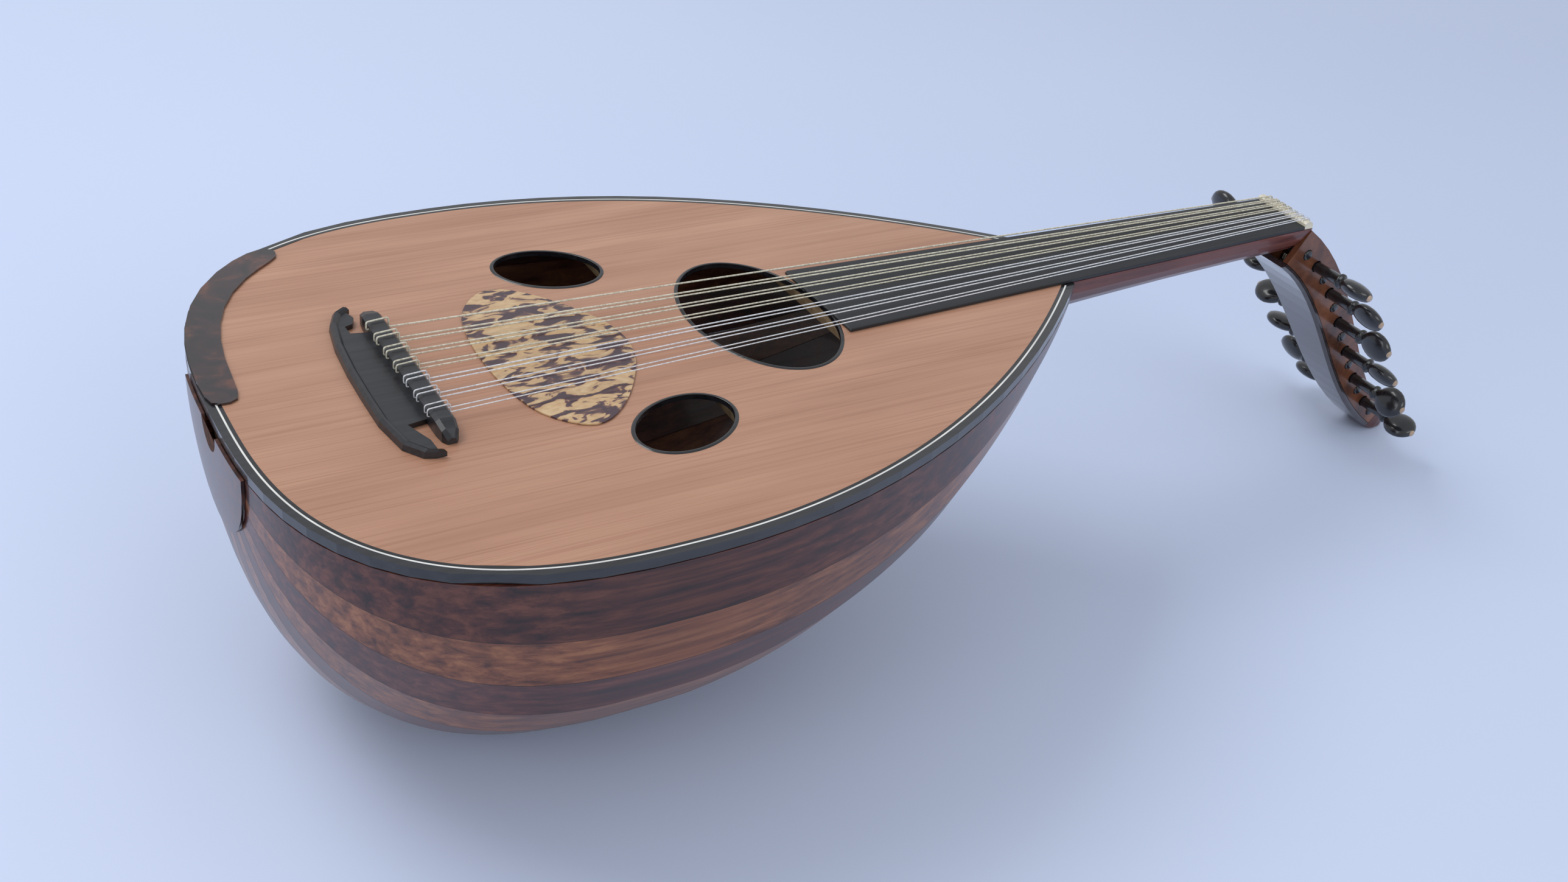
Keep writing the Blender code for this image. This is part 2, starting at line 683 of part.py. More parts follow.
def peg_route(number):
    """Where the string runs in the pegbox: over the nearer pegs, then round its own."""
    radius, target = string_radius(number), string_peg(number)
    winding = PEG_RADIUS + GAP + radius
    start = (BRIDGE_X + STRING_LENGTH + NUT_LENGTH / 2 - 0.2, HEIGHT + NUT_TOP + GAP + radius)
    centers = [pegbox_at(peg_s(i)) for i in range(target + 1)]
    fronts = [(x - dz * (winding + 0.2), z + dx * (winding + 0.2)) for x, z, dx, dz in centers]
    chain, here = [start], -1
    while here < target:
        a = chain[-1]
        here = max(range(here + 1, target + 1),
                   key=lambda j: math.atan2(fronts[j][1] - a[1], fronts[j][0] - a[0]))
        chain.append(fronts[here])
    x, z, dx, dz = centers[target]
    turn = 0.0
    for _ in range(4):
        px = x + winding * (-dz * math.cos(turn) + dx * math.sin(turn))
        pz = z + winding * (dx * math.cos(turn) + dz * math.sin(turn))
        vx, vz = px - chain[-2][0], pz - chain[-2][1]
        turn = math.atan2(-(-dz * vx + dx * vz), dx * vx + dz * vz)
    chain[-1] = (px, pz)
    lane = (BASS_LANES + TREBLE_LANES)[number]
    lengths = [0.0]
    for a, b in zip(chain, chain[1:]):
        lengths.append(lengths[-1] + math.hypot(b[0] - a[0], b[1] - a[1]))
    points = []
    for (px, pz), run in zip(chain, lengths):
        y = nut_y(number) + (lane - nut_y(number)) * run / lengths[-1]
        points.append((px, y, pz))
    pitch = (2 * radius + WINDING_GAP) * (1 if lane > 0 else -1)
    steps = round(WINDING_TURNS * 10)
    for i in range(1, steps + 1):
        a = turn + 2 * math.pi * i / 10
        points.append((x + winding * (-dz * math.cos(a) + dx * math.sin(a)),
                       lane + pitch * i / 10,
                       z + winding * (dx * math.cos(a) + dz * math.sin(a))))
    return points


def string_route(number):
    radius = string_radius(number)
    corners, radii = tie_points(number)
    nut_top = HEIGHT + NUT_TOP + GAP + radius
    nut_x = BRIDGE_X + STRING_LENGTH
    route = peg_route(number)
    bend = (nut_x + NUT_LENGTH / 2 - 0.2, nut_y(number), nut_top)
    points = rounded(corners + [(nut_x - 1.0, nut_y(number), nut_top)], radii)
    points += rounded([points.pop(), bend, route[1]], [2.2])[:-1]
    return points + route[1:]


def make_string(number, look):
    route = string_route(number)
    data = bpy.data.curves.new("string_%02d" % (number + 1), "CURVE")
    data.dimensions = "3D"
    data.bevel_depth = string_radius(number) * MM
    data.bevel_resolution = 1
    data.use_fill_caps = True
    line = data.splines.new("POLY")
    line.points.add(len(route) - 1)
    for point, place in zip(line.points, route):
        point.co = (place[0] * MM, place[1] * MM, place[2] * MM, 1.0)
    data.materials.append(look)
    made = bpy.data.objects.new("string_%02d" % (number + 1), data)
    bpy.context.collection.objects.link(made)
    return route


def self_gap(route, radius):
    """Least clear distance between two turns of one string, measured on its points."""
    turns = [Vector(p) for p in route[-round(WINDING_TURNS * 10):]]
    gap = min((turns[i] - turns[i + 10]).length for i in range(len(turns) - 10))
    return gap - 2 * radius


def build():
    clear_scene()
    spruce = material("spruce", (0.62, 0.36, 0.19), 0.42)
    dark_wood = material("walnut", (0.11, 0.045, 0.025), 0.22)
    light_wood = material("mahogany", (0.30, 0.12, 0.06), 0.22)
    black = material("ebony", (0.012, 0.012, 0.014), 0.35)
    bone = material("bone", (0.80, 0.74, 0.60), 0.35)
    shell = material("tortoiseshell", (0.62, 0.45, 0.25), 0.18)
    dark_shell = material("dark_tortoiseshell", (0.05, 0.022, 0.02), 0.18)
    inside = material("block_wood", (0.55, 0.38, 0.22), 0.6)
    make_ribs(dark_wood, light_wood)
    make_end_clasp(dark_wood)
    make_blocks(inside)
    make_binding(black)
    make_soundboard(spruce)
    make_braces(material("brace_wood", (0.72, 0.55, 0.34), 0.6))
    make_neck(material("neck_wood", (0.16, 0.055, 0.035), 0.28))
    make_fingerboard(material("fingerboard", (0.03, 0.032, 0.036), 0.5))
    make_nut(bone)
    make_pickguard(shell)
    make_arm_guard(dark_shell)
    make_bridge(material("bridge_wood", (0.018, 0.018, 0.022), 0.4))
    make_pegbox(material("cheek_wood", (0.20, 0.08, 0.04), 0.3), dark_wood)
    make_pegs(material("peg_wood", (0.01, 0.01, 0.012), 0.25))
    bass = material("wound_string", (0.78, 0.74, 0.62), 0.4)
    treble = material("plain_string", (0.82, 0.83, 0.84), 0.3)
    gaps = []
    for number in range(PEGS):
        route = make_string(number, bass if number < 7 else treble)
        gaps.append(self_gap(route, string_radius(number)))
    print("least self-gap of the windings: %.2f mm" % min(gaps))


build()
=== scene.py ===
"""Looks, camera and light for the thirteen-string oud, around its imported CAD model."""
import math

import bmesh
import bpy
from mathutils import Matrix, Vector


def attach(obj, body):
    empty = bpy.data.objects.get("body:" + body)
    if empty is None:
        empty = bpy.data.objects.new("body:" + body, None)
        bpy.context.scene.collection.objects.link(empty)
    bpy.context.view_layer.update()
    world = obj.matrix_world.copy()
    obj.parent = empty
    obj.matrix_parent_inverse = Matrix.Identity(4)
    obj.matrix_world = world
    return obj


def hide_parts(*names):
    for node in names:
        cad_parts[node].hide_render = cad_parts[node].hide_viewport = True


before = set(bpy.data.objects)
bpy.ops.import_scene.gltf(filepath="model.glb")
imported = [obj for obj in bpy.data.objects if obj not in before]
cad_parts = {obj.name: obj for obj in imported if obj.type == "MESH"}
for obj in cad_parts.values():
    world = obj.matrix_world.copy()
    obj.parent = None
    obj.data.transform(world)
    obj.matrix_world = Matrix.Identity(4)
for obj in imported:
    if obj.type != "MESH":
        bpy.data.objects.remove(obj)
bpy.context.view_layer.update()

# Sizes in millimetres, the same as in the part's source.
ROOT = "oud"
MM = 0.001
GAP = 0.3                 # clearance between two pieces that fit together
HEIGHT = 190.0            # top of the soundboard
HALF_WIDTH = 179.5
TAIL_LENGTH = 170.0
TAIL_POWER_X = 2.6
TAIL_POWER_Y = 2.8
NECK_HALF_LENGTH = 350.0
JOINT_X = 318.0           # where body and neck meet
HEEL_X = 160.0            # from here the bowl gets shallower towards the heel
HEEL_DROP = 0.25
RIBS = 17
FIRST_RIB_ANGLE = 11.3    # degrees taken by the wide first rib on each side
WALL = 2.5
FLAT_HALF_LENGTH = 22.0
BINDING_HEIGHT = 5.0
FIRST_RIB_HALF_WIDTH = 16.0   # half width of the outline where the ribs start at the tail
CLASP = 1.6
CLASP_START = 12.0        # half widths of the outline where the end clasp starts and ends
CLASP_END = 50.0
FLAT_WIDTH = HALF_WIDTH * (1 - (FLAT_HALF_LENGTH / NECK_HALF_LENGTH) ** 2)
SIDE_TOP = HEIGHT - BINDING_HEIGHT - GAP
RIB_ANGLE = (180.0 - 2 * FIRST_RIB_ANGLE) / (RIBS - 2)
DEEPEST = SIDE_TOP / math.cos(math.radians(RIB_ANGLE / 2))

STRINGS = 13
WOUND_STRINGS = 7
PEGS = 13
PEG_FIRST = 13.0          # along the middle line of the pegbox
PEG_SPACING = 16.4
PEG_SHAFT_OUT = 21.0      # from the cheek to the collar
PEGBOX = ((511.0, 178.0), (572.0, 138.0), (592.0, 62.0), (654.0, 12.0))
PEGBOX_HALF_START = 22.5
PEGBOX_HALF_TAPER = 10.0
PEG_ROLL = (20, 65, 140, 35, 95, 10, 120, 50, 80, 155, 30, 110, 70)

# Sections of a peg as (place, thin radius, wide radius): the tip end counts outward from the
# far cheek, and the rest counts outward from the collar.
PEG_TIP_ROWS = ((-1.2, 2.4, 2.4), (-1.0, 2.9, 2.9), (-0.5, 3.28, 3.28))
PEG_HEAD_ROWS = ((-1.2, 3.76, 3.76), (-0.4, 4.0, 4.0), (0.0, 4.8, 4.8), (0.5, 5.15, 5.15),
                 (1.6, 5.15, 5.15), (2.1, 4.8, 4.8), (2.6, 3.7, 3.7), (3.2, 3.4, 3.4),
                 (4.4, 3.6, 4.6), (6.2, 4.3, 7.0), (8.5, 4.9, 8.8), (11.5, 5.2, 10.2),
                 (14.5, 5.35, 10.5), (18.0, 5.1, 10.1), (21.0, 4.5, 8.9), (23.6, 3.7, 6.9),
                 (25.4, 2.7, 4.6), (26.4, 1.6, 2.4))
PEG_BEAD_ROWS = ((25.6, 2.2, 2.6), (26.6, 2.1, 2.3), (27.2, 1.3, 1.5), (27.4, 0.5, 0.6))

# Sound holes: name, x, y, long and short half axis, tilt in degrees.
HOLES = (("large", 123.0, 0.0, 61.0, 39.0, 90.0),
         ("bass", 35.5, 85.5, 30.0, 21.5, -26.6),
         ("treble", 35.5, -85.5, 30.0, 21.5, 26.6))
# Section of a rim, as (outward from the hole's edge, above the soundboard).
RIM_SECTION = ((-0.5, -2.4), (-0.5, 0.35), (-0.2, 0.55), (0.9, 0.45), (1.5, 0.04), (0.5, 0.03))

# The photograph's camera: degrees, millimetres, and pixels of its 2576-pixel width.
CAMERA_AZIMUTH, CAMERA_ELEVATION, CAMERA_ROLL = -33.08, 32.40, 6.40
CAMERA_PLACE = (-313.1, -709.6, 638.5)
CAMERA_FOCAL = 2843.0
PHOTO_WIDTH = 2576.0
SENSOR = 36.0

WHITE = (1.0, 1.0, 1.0)
DARK_RIB = ((0.020, 0.006, 0.006), (0.070, 0.020, 0.014), (0.145, 0.046, 0.028))
RED_RIB = ((0.028, 0.007, 0.007), (0.085, 0.020, 0.015), (0.160, 0.048, 0.030))
LIGHT_RIB = ((0.075, 0.021, 0.012), (0.205, 0.068, 0.030), (0.330, 0.130, 0.056))
BLOCK_TONES = ((0.40, 0.26, 0.14), (0.52, 0.36, 0.21), (0.60, 0.43, 0.26))
NECK_TONES = ((0.075, 0.020, 0.016), (0.13, 0.036, 0.028), (0.18, 0.055, 0.04))
CHEEK_TONES = ((0.050, 0.018, 0.010), (0.15, 0.052, 0.024), (0.27, 0.10, 0.045))
PALE_SHELL = ((0.44, (0.045, 0.014, 0.026)), (0.485, (0.13, 0.05, 0.045)),
              (0.52, (0.56, 0.36, 0.18)), (0.72, (0.66, 0.48, 0.27)))
DARK_SHELL = ((0.4, (0.012, 0.007, 0.010)), (0.55, (0.035, 0.014, 0.016)),
              (0.68, (0.11, 0.035, 0.022)))
BLACK = (0.006, 0.006, 0.008)


# ---------------------------------------------------------------- materials
class Graph:
    """A Principled material whose colour, roughness and bump come from object coordinates."""

    def __init__(self, name, roughness, coat=0.0, specular=0.5):
        self.material = bpy.data.materials.new(name)
        self.material.use_nodes = True
        self.nodes = self.material.node_tree.nodes
        self.links = self.material.node_tree.links
        self.shader = self.nodes["Principled BSDF"]
        self.shader.inputs["Roughness"].default_value = roughness
        self.shader.inputs["Metallic"].default_value = 0.0
        self.shader.inputs["Coat Weight"].default_value = coat
        self.shader.inputs["Coat Roughness"].default_value = 0.06
        self.shader.inputs["Specular IOR Level"].default_value = specular
        self.coords = self.nodes.new("ShaderNodeTexCoord").outputs["Object"]

    def noise(self, stretch, shift=(0, 0, 0), scale=1.0, detail=4.0, rough=0.55, distortion=0.0):
        """Noise over the object's own space, stretched and shifted."""
        mapping = self.nodes.new("ShaderNodeMapping")
        mapping.inputs["Scale"].default_value = stretch
        mapping.inputs["Location"].default_value = shift
        self.links.new(self.coords, mapping.inputs["Vector"])
        node = self.nodes.new("ShaderNodeTexNoise")
        node.inputs["Scale"].default_value = scale
        node.inputs["Detail"].default_value = detail
        node.inputs["Roughness"].default_value = rough
        node.inputs["Distortion"].default_value = distortion
        self.links.new(mapping.outputs["Vector"], node.inputs["Vector"])
        return node.outputs["Fac"]

    def ramp(self, value, stops):
        node = self.nodes.new("ShaderNodeValToRGB")
        elements = node.color_ramp.elements
        while len(elements) < len(stops):
            elements.new(0.5)
        for element, (place, color) in zip(elements, stops):
            element.position = place
            element.color = (*color, 1.0)
        self.links.new(value, node.inputs["Fac"])
        return node.outputs["Color"]

    def multiply(self, a, b, share):
        node = self.nodes.new("ShaderNodeMix")
        node.data_type = "RGBA"
        node.blend_type = "MULTIPLY"
        node.inputs[0].default_value = share
        self.links.new(a, node.inputs[6])
        self.links.new(b, node.inputs[7])
        return node.outputs[2]

    def color(self, output):
        self.links.new(output, self.shader.inputs["Base Color"])

    def roughness(self, value, low, high):
        node = self.nodes.new("ShaderNodeMapRange")
        node.inputs["To Min"].default_value = low
        node.inputs["To Max"].default_value = high
        self.links.new(value, node.inputs["Value"])
        self.links.new(node.outputs["Result"], self.shader.inputs["Roughness"])

    def bump(self, value, distance, strength):
        node = self.nodes.new("ShaderNodeBump")
        node.inputs["Strength"].default_value = strength
        node.inputs["Distance"].default_value = distance
        self.links.new(value, node.inputs["Height"])
        self.links.new(node.outputs["Normal"], self.shader.inputs["Normal"])


def spruce():
    """Softwood with fine dark lines along the strings."""
    g = Graph("spruce_top", 0.38, coat=0.15)
    broad = g.noise((2.2, 14.0, 4.0), scale=3.0, detail=3.0)
    grain = g.noise((5.0, 820.0, 40.0), detail=2.0, rough=0.6, distortion=0.15)
    fine = g.noise((14.0, 2100.0, 60.0), detail=1.0)
    base = g.ramp(broad, ((0.3, (0.42, 0.215, 0.137)), (0.52, (0.47, 0.25, 0.163)),
                          (0.75, (0.53, 0.295, 0.195))))
    lines = g.ramp(grain, ((0.36, (0.83, 0.76, 0.72)), (0.52, WHITE)))
    threads = g.ramp(fine, ((0.3, (0.88, 0.85, 0.82)), (0.6, WHITE)))
    g.color(g.multiply(g.multiply(base, lines, 0.75), threads, 0.6))
    g.roughness(grain, 0.34, 0.48)
    g.bump(grain, 0.00006, 0.35)
    return g.material


def rib_wood(name, tones, shift, coat=0.25, rough=0.3, streak=(6.0, 190.0, 190.0)):
    """Hardwood with streaks, clouds and pores along X."""
    g = Graph(name, rough, coat=coat, specular=0.35)
    streaks = g.noise(streak, shift, detail=5.0, rough=0.6, distortion=0.4)
    cloud = g.noise((9.0, 26.0, 26.0), shift, detail=3.0, rough=0.5, distortion=1.2)
    pores = g.noise((90.0, 1500.0, 1500.0), shift, detail=1.0)
    body = g.ramp(streaks, ((0.32, tones[0]), (0.5, tones[1]), (0.68, tones[2])))
    shade = g.ramp(cloud, ((0.35, (0.72, 0.70, 0.70)), (0.6, WHITE)))
    specks = g.ramp(pores, ((0.28, (0.55, 0.5, 0.48)), (0.4, WHITE)))
    g.color(g.multiply(g.multiply(body, shade, 0.8), specks, 0.6))
    g.roughness(streaks, rough - 0.05, rough + 0.08)
    g.bump(pores, 0.00004, 0.25)
    return g.material


def black_wood(name, tone, rough, coat=0.0):
    g = Graph(name, rough, coat=coat)
    streaks = g.noise((12.0, 320.0, 320.0))
    lighter = tuple(min(c * 1.8 + 0.006, 1.0) for c in tone)
    g.color(g.ramp(streaks, ((0.35, tone), (0.7, lighter))))
    g.roughness(streaks, rough - 0.05, rough + 0.1)
    g.bump(streaks, 0.00003, 0.3)
    return g.material


def shell(name, stops, stretch, shift):
    """Tortoiseshell with soft blotches."""
    g = Graph(name, 0.2, coat=0.6)
    blotch = g.noise(stretch, shift, detail=3.0, rough=0.5, distortion=0.9)
    fleck = g.noise(tuple(s * 4.0 for s in stretch), shift, detail=3.0)
    tint = g.ramp(fleck, ((0.35, (0.78, 0.70, 0.66)), (0.6, WHITE)))
    g.color(g.multiply(g.ramp(blotch, stops), tint, 0.6))
    g.roughness(fleck, 0.14, 0.26)
    return g.material


def bone(name, tone):
    g = Graph(name, 0.32, coat=0.2)
    cloud = g.noise((60.0, 60.0, 160.0), detail=3.0)
    darker = tuple(c * 0.8 for c in tone)
    g.color(g.ramp(cloud, ((0.35, darker), (0.6, tone))))
    g.roughness(cloud, 0.26, 0.4)
    return g.material


def string_look(name, tone, darker, rough):
    g = Graph(name, rough)
    turns = g.noise((700.0, 700.0, 700.0), detail=1.0)
    g.color(g.ramp(turns, ((0.35, darker), (0.6, tone))))
    g.roughness(turns, rough - 0.06, rough + 0.08)
    return g.material


def assign(node, look):
    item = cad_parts[node]
    item.data.materials.clear()
    item.data.materials.append(look)


def rib_tones(number):
    """Light ribs in between, the first, middle and last rib dark, and the others red."""
    if number % 2 == 0:
        return LIGHT_RIB
    return DARK_RIB if number in (1, (RIBS + 1) // 2, RIBS) else RED_RIB


def dress_nodes():
    """Better materials for the CAD nodes, also for those that are shown by a finer piece."""
    for number in range(1, RIBS + 1):
        shift = (0.31 * number, 0.17 * number, 0.07)
        assign("rib_%02d" % number, rib_wood("rib_%02d_wood" % number, rib_tones(number), shift))
    clasp = rib_wood("clasp_wood", DARK_RIB, (3.1, 0.4, 0.2), coat=0.3, rough=0.28)
    block = rib_wood("block_wood", BLOCK_TONES, (0.2, 2.2, 0.4), coat=0.0, rough=0.6)
    neck = rib_wood("neck_wood", NECK_TONES, (1.2, 0.3, 0.9), coat=0.35, rough=0.3)
    cheek = rib_wood("cheek_wood", CHEEK_TONES, (0.4, 0.8, 0.1), coat=0.4, rough=0.28,
                     streak=(34.0, 60.0, 24.0))
    looks = {
        "soundboard": spruce(),
        "binding": black_wood("black_binding", BLACK, 0.22, 0.5),
        "end_clasp": clasp,
        "neck": neck,
        "fingerboard": black_wood("fingerboard_wood", (0.010, 0.011, 0.014), 0.45),
        "bridge": black_wood("bridge_wood", (0.010, 0.010, 0.013), 0.36, 0.15),
        "nut": bone("bone", (0.74, 0.68, 0.54)),
        "pegbox_back": black_wood("pegbox_back_wood", (0.020, 0.012, 0.012), 0.2, 0.8),
        "pegbox_tip": neck,
        "pegbox_cheek_near": cheek,
        "pegbox_cheek_far": cheek,
        "tail_block": block,
        "neck_block": block,
        "brace_1": block,
        "brace_2": block,
        "pickguard": shell("pale_shell", PALE_SHELL, (62.0, 125.0, 30.0), (0.4, 0.1, 0.0)),
        "arm_guard": shell("dark_shell", DARK_SHELL, (55.0, 60.0, 40.0), (0.1, 0.7, 0.0)),
    }
    for node, look in looks.items():
        assign(node, look)
    wound = string_look("wound_string", (0.72, 0.69, 0.58), (0.50, 0.46, 0.36), 0.35)
    plain = string_look("plain_string", (0.78, 0.79, 0.82), (0.58, 0.59, 0.64), 0.28)
    for number in range(1, STRINGS + 1):
        assign("string_%02d" % number, wound if number <= WOUND_STRINGS else plain)


# ---------------------------------------------------------------- shapes
def piece(name, rings, look, body=ROOT, smooth=40.0, closed=False):
    """A new visible piece lofted through rings of points in millimetres, riding on a body."""
    points, faces = lofted(rings, closed)
    mesh = bpy.data.meshes.new(name)
    mesh.from_pydata([Vector(p) * MM for p in points], [], faces)
    shape = bmesh.new()
    shape.from_mesh(mesh)
    bmesh.ops.recalc_face_normals(shape, faces=shape.faces)
    shape.to_mesh(mesh)
    shape.free()
    mesh.shade_smooth()
    mesh.set_sharp_from_angle(angle=math.radians(smooth))
    mesh.materials.append(look)
    made = bpy.data.objects.new(name, mesh)
    bpy.context.scene.collection.objects.link(made)
    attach(made, body)
    return made


def lofted(rings, closed):
    """Points and faces through rings of equal length, capped unless the run closes on itself."""
    count = len(rings[0])
    points = [p for ring in rings for p in ring]
    faces = []
    if not closed:
        faces = [list(range(count)), [len(points) - count + i for i in range(count)]]
    for row in range(len(rings) if closed else len(rings) - 1):
        a, b = row * count, (row + 1) % len(rings) * count
        for i in range(count):
            j = (i + 1) % count
            faces.append([a + i, a + j, b + j, b + i])
    return points, faces


def outline(t):
    """x and half width of the soundboard: t is 0 at the tail, 0.5 at the widest place, 1 at the neck."""
    if t < 0.5:
        turn = t * math.pi
        return (-TAIL_LENGTH * math.cos(turn) ** (2 / TAIL_POWER_X),
                HALF_WIDTH * math.sin(turn) ** (2 / TAIL_POWER_Y))
    x = JOINT_X * (t - 0.5) / 0.5
    return x, HALF_WIDTH * (1 - (x / NECK_HALF_LENGTH) ** 2)


def outline_in(t, inset):
    """The outline moved inward by this much."""
    x, w = outline(t)
    xa, wa = outline(max(t - 0.0005, 0.0))
    xb, wb = outline(min(t + 0.0005, 1.0))
    length = math.hypot(xb - xa, wb - wa)
    return x + inset * (wb - wa) / length, w - inset * (xb - xa) / length


def tail_t(half_width):
    """The value of t in the tail half where the outline has this half width."""
    return math.asin((half_width / HALF_WIDTH) ** (TAIL_POWER_Y / 2)) / math.pi


def bowl_point(t, angle, inset=0.0):
    """A point of the bowl: angle 0 is the treble edge, 90 the keel and 180 the bass edge."""
    x, w = outline_in(t, inset)
    share = min(max((x - HEEL_X) / (JOINT_X - HEEL_X), 0.0), 1.0)
    ratio = 1 - HEEL_DROP * share * share * (3 - 2 * share)
    drop = DEEPEST / FLAT_WIDTH * ratio * min(w, FLAT_WIDTH - inset)
    return x, -w * math.cos(angle), SIDE_TOP - drop * math.sin(angle)


def rib_edges():
    """Angles of the seams between the ribs, in radians."""
    inner = [FIRST_RIB_ANGLE + i * RIB_ANGLE for i in range(RIBS - 1)]
    return [math.radians(a) for a in [0.0] + inner + [180.0]]


def stave_rings(ts, low, high, clear, outer, inner):
    """Rings of a stave between two seam angles, clear of each by this many millimetres."""
    rings = []
    for t in ts:
        slim = clear / outline(t)[1]
        a, b = low + slim, high - slim
        rings.append([bowl_point(t, a, outer), bowl_point(t, b, outer),
                      bowl_point(t, b, inner), bowl_point(t, a, inner)])
    return rings


def make_bowl():
    """The staves and the end clasp again with many stations, so that they bend smoothly."""
    first = tail_t(FIRST_RIB_HALF_WIDTH)
    ts = [first + (0.497 - first) * (i / 50) ** 1.5 for i in range(51)]
    ts += [0.503 + (0.9995 - 0.503) * i / 70 for i in range(71)]
    edges = rib_edges()
    for number in range(RIBS):
        node = "rib_%02d" % (number + 1)
        rings = stave_rings(ts, edges[number], edges[number + 1], GAP / 2, 0.0, WALL)
        made = piece(node + "_stave", rings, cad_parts[node].data.materials[0],
                     smooth=30.0)
        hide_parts(node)
    line = black_wood("seam_black", (0.004, 0.003, 0.003), 0.4)
    for number, edge in enumerate(edges[1:-1], 1):
        # a negative clearance gives a thin stave that stands in the gap at the seam
        rings = stave_rings(ts, edge, edge, -0.13, 0.02, 1.0)
        piece("seam_line_%02d" % number, rings, line)
    rings = []
    for i in range(25):
        t = tail_t(CLASP_START + (CLASP_END - CLASP_START) * i / 24)
        rings.append([bowl_point(t, a, -GAP - CLASP) for a in edges]
                     + [bowl_point(t, a, -GAP) for a in reversed(edges)])
    made = piece("clasp_cap", rings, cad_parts["end_clasp"].data.materials[0],
                 smooth=30.0)
    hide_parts("end_clasp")


def edge_strip(name, inner, outer, rise, look):
    """A thin line that follows the edge of the soundboard from the neck round the tail."""
    low, high = HEIGHT - 0.2, HEIGHT + rise
    ts = [0.004 + 0.12 * (i / 60) ** 1.6 for i in range(61)]
    ts += [0.124 + (0.994 - 0.124) * i / 120 for i in range(1, 121)]
    rings = []
    for side, run in ((-1, list(reversed(ts))), (1, ts)):
        for t in run:
            (xa, wa), (xb, wb) = outline_in(t, outer), outline_in(t, inner)
            ya, yb = side * max(wa, 0.2), side * max(wb, 0.2)
            rings.append([(xa, ya, low), (xa, ya, high), (xb, yb, high), (xb, yb, low)])
    piece(name, rings, look)


def hole_rim(name, x, y, long_half, short_half, tilt, look):
    """The dark rim that lines a sound hole and stands a little over the soundboard."""
    turn = math.radians(tilt)
    rings = []
    for i in range(120):
        a = 2 * math.pi * i / 120
        nx, ny = short_half * math.cos(a), long_half * math.sin(a)
        size = math.hypot(nx, ny)
        ring = []
        for out, z in RIM_SECTION:
            u = long_half * math.cos(a) + out * nx / size
            v = short_half * math.sin(a) + out * ny / size
            ring.append((x + u * math.cos(turn) - v * math.sin(turn),
                         y + u * math.sin(turn) + v * math.cos(turn), HEIGHT + z))
        rings.append(ring)
    piece(name, rings, look, closed=True)


def pegbox_table():
    """Lengths and points along the middle line of the pegbox."""
    table, length, last = [], 0.0, None
    for i in range(401):
        s = i / 400
        k = ((1 - s) ** 3, 3 * s * (1 - s) ** 2, 3 * s * s * (1 - s), s ** 3)
        p = tuple(sum(k[j] * PEGBOX[j][c] for j in range(4)) for c in (0, 1))
        if last:
            length += math.hypot(p[0] - last[0], p[1] - last[1])
        table.append((length, p))
        last = p
    return table


CURVE = pegbox_table()


def pegbox_at(s):
    """x and z of the middle line at this length."""
    i = min(max(sum(1 for length, _ in CURVE if length < s), 1), len(CURVE) - 1)
    (la, a), (lb, b) = CURVE[i - 1], CURVE[i]
    share = (s - la) / (lb - la)
    return a[0] + (b[0] - a[0]) * share, a[1] + (b[1] - a[1]) * share


def peg_ring(x, z, side, turn, row, count):
    """One oval section of a peg, rolled about the peg's axis."""
    v, thin, wide = row
    ring = []
    for i in range(count):
        a = 2 * math.pi * i / count
        u, w = thin * math.cos(a), wide * math.sin(a)
        ring.append((x + u * math.cos(turn) - w * math.sin(turn), side * v,
                     z + u * math.sin(turn) + w * math.cos(turn)))
    return ring


def make_pegs():
    """Round-turned pegs with flattened heads and bone tips in place of the faceted solids."""
    wood = black_wood("peg_black", BLACK, 0.22, 0.5)
    tip = bone("peg_bone", (0.50, 0.36, 0.26))
    for number in range(PEGS):
        s = PEG_FIRST + PEG_SPACING * number
        x, z = pegbox_at(s)
        half = PEGBOX_HALF_START - PEGBOX_HALF_TAPER * s / CURVE[-1][0]
        collar = half + PEG_SHAFT_OUT
        side = 1 if number % 2 == 0 else -1
        turn = math.radians(PEG_ROLL[number])
        body = "peg_%02d" % (number + 1)
        rows = [(-half + v, thin, wide) for v, thin, wide in PEG_TIP_ROWS]
        rows += [(collar + v, thin, wide) for v, thin, wide in PEG_HEAD_ROWS]
        rings = [peg_ring(x, z, side, turn, row, 32) for row in rows]
        made = piece(body + "_turned", rings, wood, body, 50.0)
        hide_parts(body)
        rows = [(collar + v, thin, wide) for v, thin, wide in PEG_BEAD_ROWS]
        rings = [peg_ring(x, z, side, turn, row, 20) for row in rows]
        piece(body + "_tip", rings, tip, body, 60.0)


def make_details():
    black = black_wood("rim_black", BLACK, 0.25, 0.3)
    white = bone("purfling_white", (0.80, 0.80, 0.78))
    edge_strip("purfling_white", 5.0, 4.1, 0.06, white)
    edge_strip("purfling_black", 6.9, 5.7, 0.05, black)
    for name, *hole in HOLES:
        hole_rim("rim_" + name, *hole, black)


# ---------------------------------------------------------------- stage, light, camera
def make_floor():
    mesh = bpy.data.meshes.new("floor")
    mesh.from_pydata([(-6, -6, 0), (6, -6, 0), (6, 6, 0), (-6, 6, 0)], [], [(0, 1, 2, 3)])
    floor = bpy.data.objects.new("floor", mesh)
    bpy.context.scene.collection.objects.link(floor)
    floor.location.z = -0.0002
    g = Graph("floor_paint", 0.55)
    cloud = g.noise((0.6, 0.6, 0.6), detail=2.0)
    g.color(g.ramp(cloud, ((0.3, (0.58, 0.67, 0.90)), (0.7, (0.64, 0.72, 0.92)))))
    mesh.materials.append(g.material)


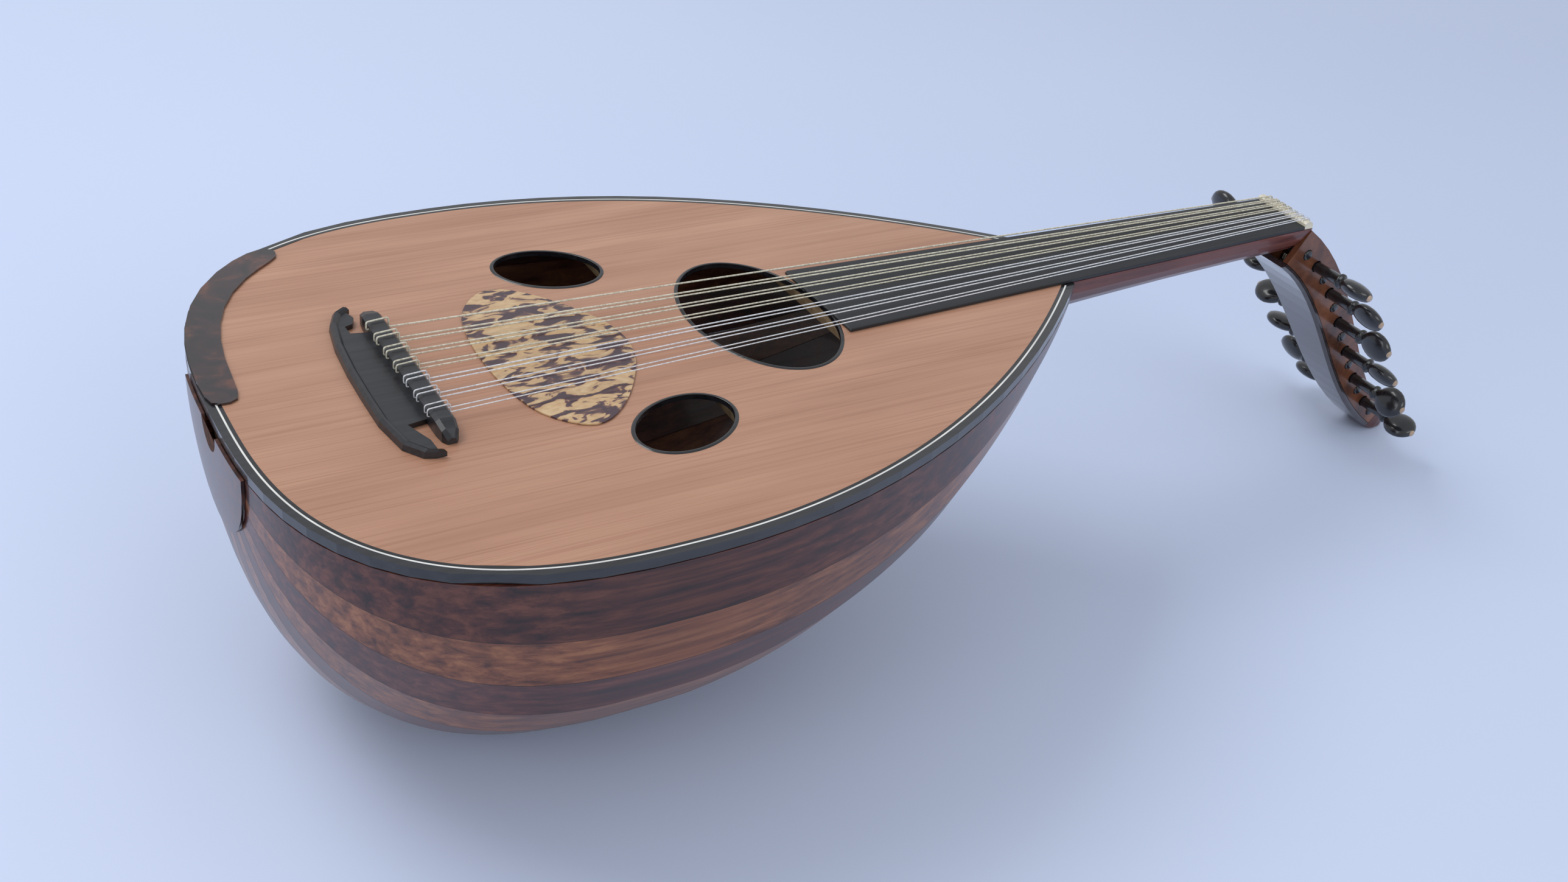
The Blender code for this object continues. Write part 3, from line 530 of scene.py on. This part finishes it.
def make_world():
    """A soft fill from all sides, and a pale backdrop where the camera sees past the floor."""
    world = bpy.data.worlds.new("studio")
    bpy.context.scene.world = world
    world.use_nodes = True
    nodes, links = world.node_tree.nodes, world.node_tree.links
    nodes.clear()
    out = nodes.new("ShaderNodeOutputWorld")
    light, seen = nodes.new("ShaderNodeBackground"), nodes.new("ShaderNodeBackground")
    light.inputs["Color"].default_value = (0.93, 0.96, 1.0, 1.0)
    light.inputs["Strength"].default_value = 0.62
    seen.inputs["Color"].default_value = (0.70, 0.78, 0.95, 1.0)
    seen.inputs["Strength"].default_value = 1.0
    path, mix = nodes.new("ShaderNodeLightPath"), nodes.new("ShaderNodeMixShader")
    links.new(path.outputs["Is Camera Ray"], mix.inputs["Fac"])
    links.new(light.outputs[0], mix.inputs[1])
    links.new(seen.outputs[0], mix.inputs[2])
    links.new(mix.outputs[0], out.inputs["Surface"])


def area(name, place, target, size, power, color):
    data = bpy.data.lights.new(name, "AREA")
    data.shape = "RECTANGLE"
    data.size, data.size_y = size
    data.energy = power
    data.color = color
    made = bpy.data.objects.new(name, data)
    bpy.context.scene.collection.objects.link(made)
    made.location = place
    made.rotation_euler = (Vector(target) - Vector(place)).to_track_quat("-Z", "Y").to_euler()


def make_light():
    target = (0.2, 0.0, 0.1)
    area("key", (-0.9, 1.0, 2.2), target, (1.6, 1.2), 26.0, WHITE)
    area("side", (0.6, -2.2, 1.5), target, (1.8, 1.0), 12.0, (0.93, 0.97, 1.0))
    area("tail", (-2.0, -0.6, 1.0), target, (0.7, 1.6), 6.0, (0.9, 0.95, 1.0))


def make_camera():
    """The photograph's camera, from a fit of the outline, bridge, nut and bowl."""
    azimuth, elevation, roll = (math.radians(a) for a in
                                (CAMERA_AZIMUTH, CAMERA_ELEVATION, CAMERA_ROLL))
    ahead = Vector((-math.sin(azimuth) * math.cos(elevation),
                    math.cos(azimuth) * math.cos(elevation), -math.sin(elevation)))
    right = ahead.cross(Vector((0, 0, 1))).normalized()
    up = right.cross(ahead)
    turned_right = right * math.cos(roll) + up * math.sin(roll)
    turned_up = up * math.cos(roll) - right * math.sin(roll)
    data = bpy.data.cameras.new("camera")
    data.sensor_width = SENSOR
    data.lens = SENSOR * CAMERA_FOCAL / PHOTO_WIDTH
    data.clip_start, data.clip_end = 0.02, 50.0
    made = bpy.data.objects.new("camera", data)
    bpy.context.scene.collection.objects.link(made)
    made.matrix_world = Matrix.Translation(Vector(CAMERA_PLACE) * MM) @ Matrix(
        (turned_right, turned_up, -ahead)).transposed().to_4x4()
    bpy.context.scene.camera = made


dress_nodes()
make_bowl()
make_pegs()
make_details()
make_floor()
make_world()
make_light()
make_camera()
bpy.context.scene.view_settings.view_transform = "Standard"
